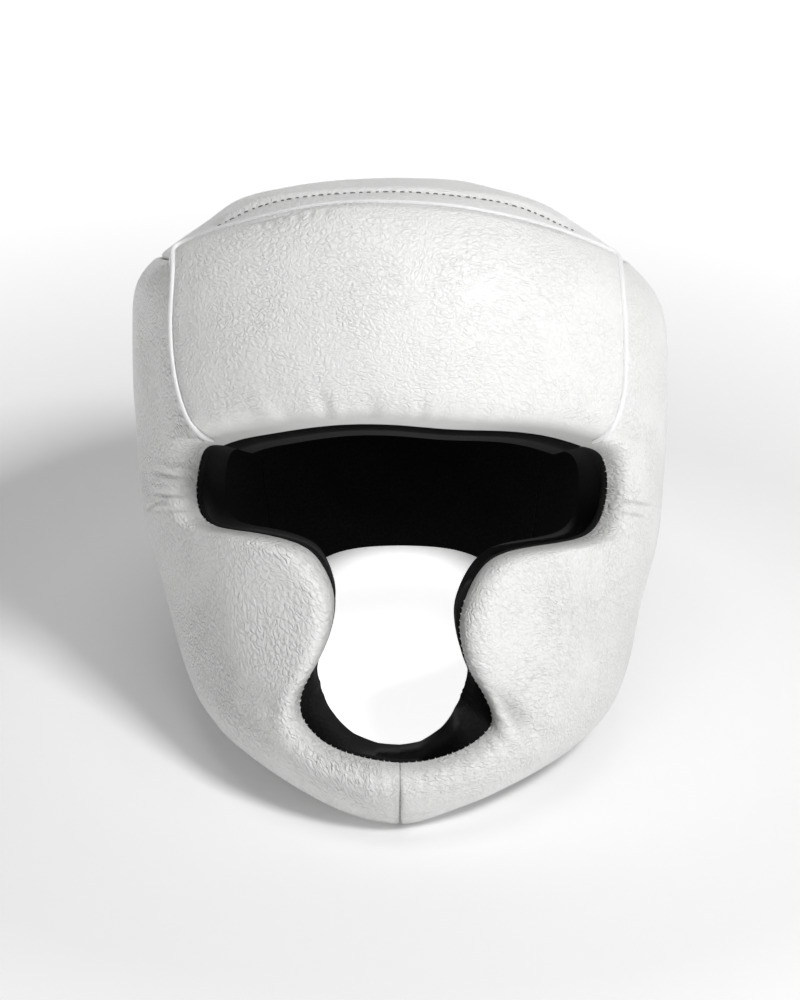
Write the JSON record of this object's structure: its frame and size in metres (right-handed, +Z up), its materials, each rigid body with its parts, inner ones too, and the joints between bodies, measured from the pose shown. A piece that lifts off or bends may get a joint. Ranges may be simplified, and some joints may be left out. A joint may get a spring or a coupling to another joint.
{
  "type": "head guard",
  "caption": "Padded full-face combat-sports head guard in white leather with a black suede lining, open at the eyes, mouth and neck, resting tilted back on its chin and rear corners",
  "frame": {"origin": "Bottom centre of the bounding box: z = 0 is the floor that the guard rests on", "axes": "+Z is up at rest, -Y is the open front of the guard, +X is its right side as seen from the front. The worn upright is tilted back by about 23 degrees"},
  "size_m": [0.229, 0.2954, 0.2301],
  "materials": {
    "white_leather": "pebbled, semi-gloss",
    "black_suede": "suede, matt"
  },
  "bodies": {
    "root": {"left_side_pad": "white_leather", "right_side_pad": "white_leather", "brow_pad": "white_leather", "crown_pad": "white_leather", "back_pad": "white_leather", "brow_piping": "white_leather", "rear_strap": "white_leather", "left_side_lining": "black_suede", "right_side_lining": "black_suede", "brow_lining": "black_suede", "crown_lining": "black_suede", "back_lining": "black_suede"}
  },
  "joints": []
}
